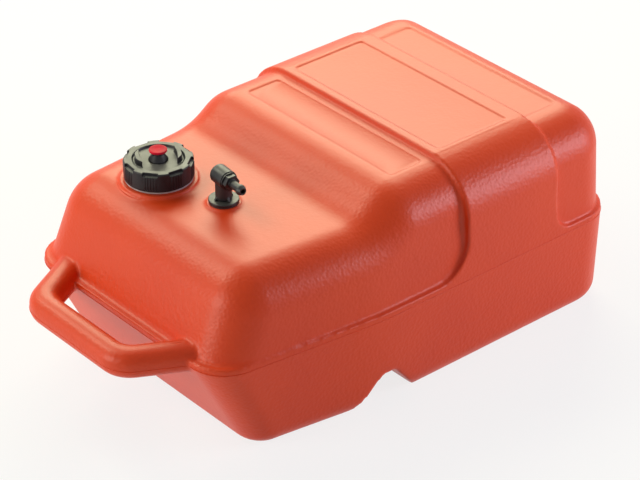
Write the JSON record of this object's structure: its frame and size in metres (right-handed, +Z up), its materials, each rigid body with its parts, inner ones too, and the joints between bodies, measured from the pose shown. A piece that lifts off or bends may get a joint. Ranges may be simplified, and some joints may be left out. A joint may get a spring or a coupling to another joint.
{
  "type": "portable fuel tank",
  "caption": "Portable moulded fuel tank for an outboard motor, with carrying handle, vented filler cap and swivelling hose elbow.",
  "frame": {"origin": "under the middle of the part's box, on the plane the base stands on", "axes": "+Z up, -X towards the carrying handle, +Y towards the side that the filler cap is on"},
  "size_m": [0.58, 0.344, 0.232],
  "materials": {
    "tank_plastic": "leather grain, moulded",
    "cap_plastic": "satin",
    "knob_plastic": "smooth",
    "fitting_plastic": "smooth",
    "tube_plastic": "smooth",
    "seal_rubber": "matt",
    "clip_steel": "stainless"
  },
  "bodies": {
    "tank": {"tank_shell": "tank_plastic", "pickup_gasket": "seal_rubber", "pickup_flange": "fitting_plastic", "dip_tube": "tube_plastic", "pickup_strainer": "fitting_plastic", "strainer_foot": "fitting_plastic"},
    "cap_carrier": {"cap_seal": "seal_rubber", "cap_liner": "cap_plastic"},
    "cap": {"filler_cap": "cap_plastic", "vent_turret": "cap_plastic"},
    "vent_carrier": {"vent_seal": "seal_rubber", "vent_clip": "clip_steel"},
    "vent": {"vent_knob": "knob_plastic", "vent_stem": "fitting_plastic"},
    "elbow": {"elbow": "fitting_plastic", "swivel_seal": "seal_rubber", "barrel_plug": "fitting_plastic", "hose_tail": "fitting_plastic", "tail_seal": "seal_rubber", "tail_clip": "fitting_plastic"},
    "check_ball": {"check_ball": "clip_steel"}
  },
  "joints": [
    {"name": "cap_lift", "type": "slide", "parent": "tank", "child": "cap_carrier", "axis": [0, 0, 1], "range_m": [0, 0.04]},
    {"name": "cap_turn", "type": "hinge", "parent": "cap_carrier", "child": "cap", "pos_m": [-0.1251, 0.0664, 0.208], "axis": [0, 0, 1], "range_deg": [0, 1440]},
    {"name": "vent_rise", "type": "slide", "parent": "cap", "child": "vent_carrier", "axis": [0, 0, 1], "range_m": [0, 0.003]},
    {"name": "vent_turn", "type": "hinge", "parent": "vent_carrier", "child": "vent", "pos_m": [-0.1251, 0.0664, 0.218], "axis": [0, 0, 1], "range_deg": [0, 540]},
    {"name": "elbow_swivel", "type": "hinge", "parent": "tank", "child": "elbow", "pos_m": [-0.105, -0.0116, 0.208], "axis": [0, 0, 1], "continuous": true},
    {"name": "ball_rise", "type": "slide", "parent": "tank", "child": "check_ball", "axis": [0, 0, 1], "range_m": [0, 0.003]}
  ],
  "couplings": [
    {"joint": "cap_turn", "follows": "cap_lift", "rad_per_m": 628.32},
    {"joint": "vent_turn", "follows": "vent_rise", "rad_per_m": 3141.6}
  ]
}
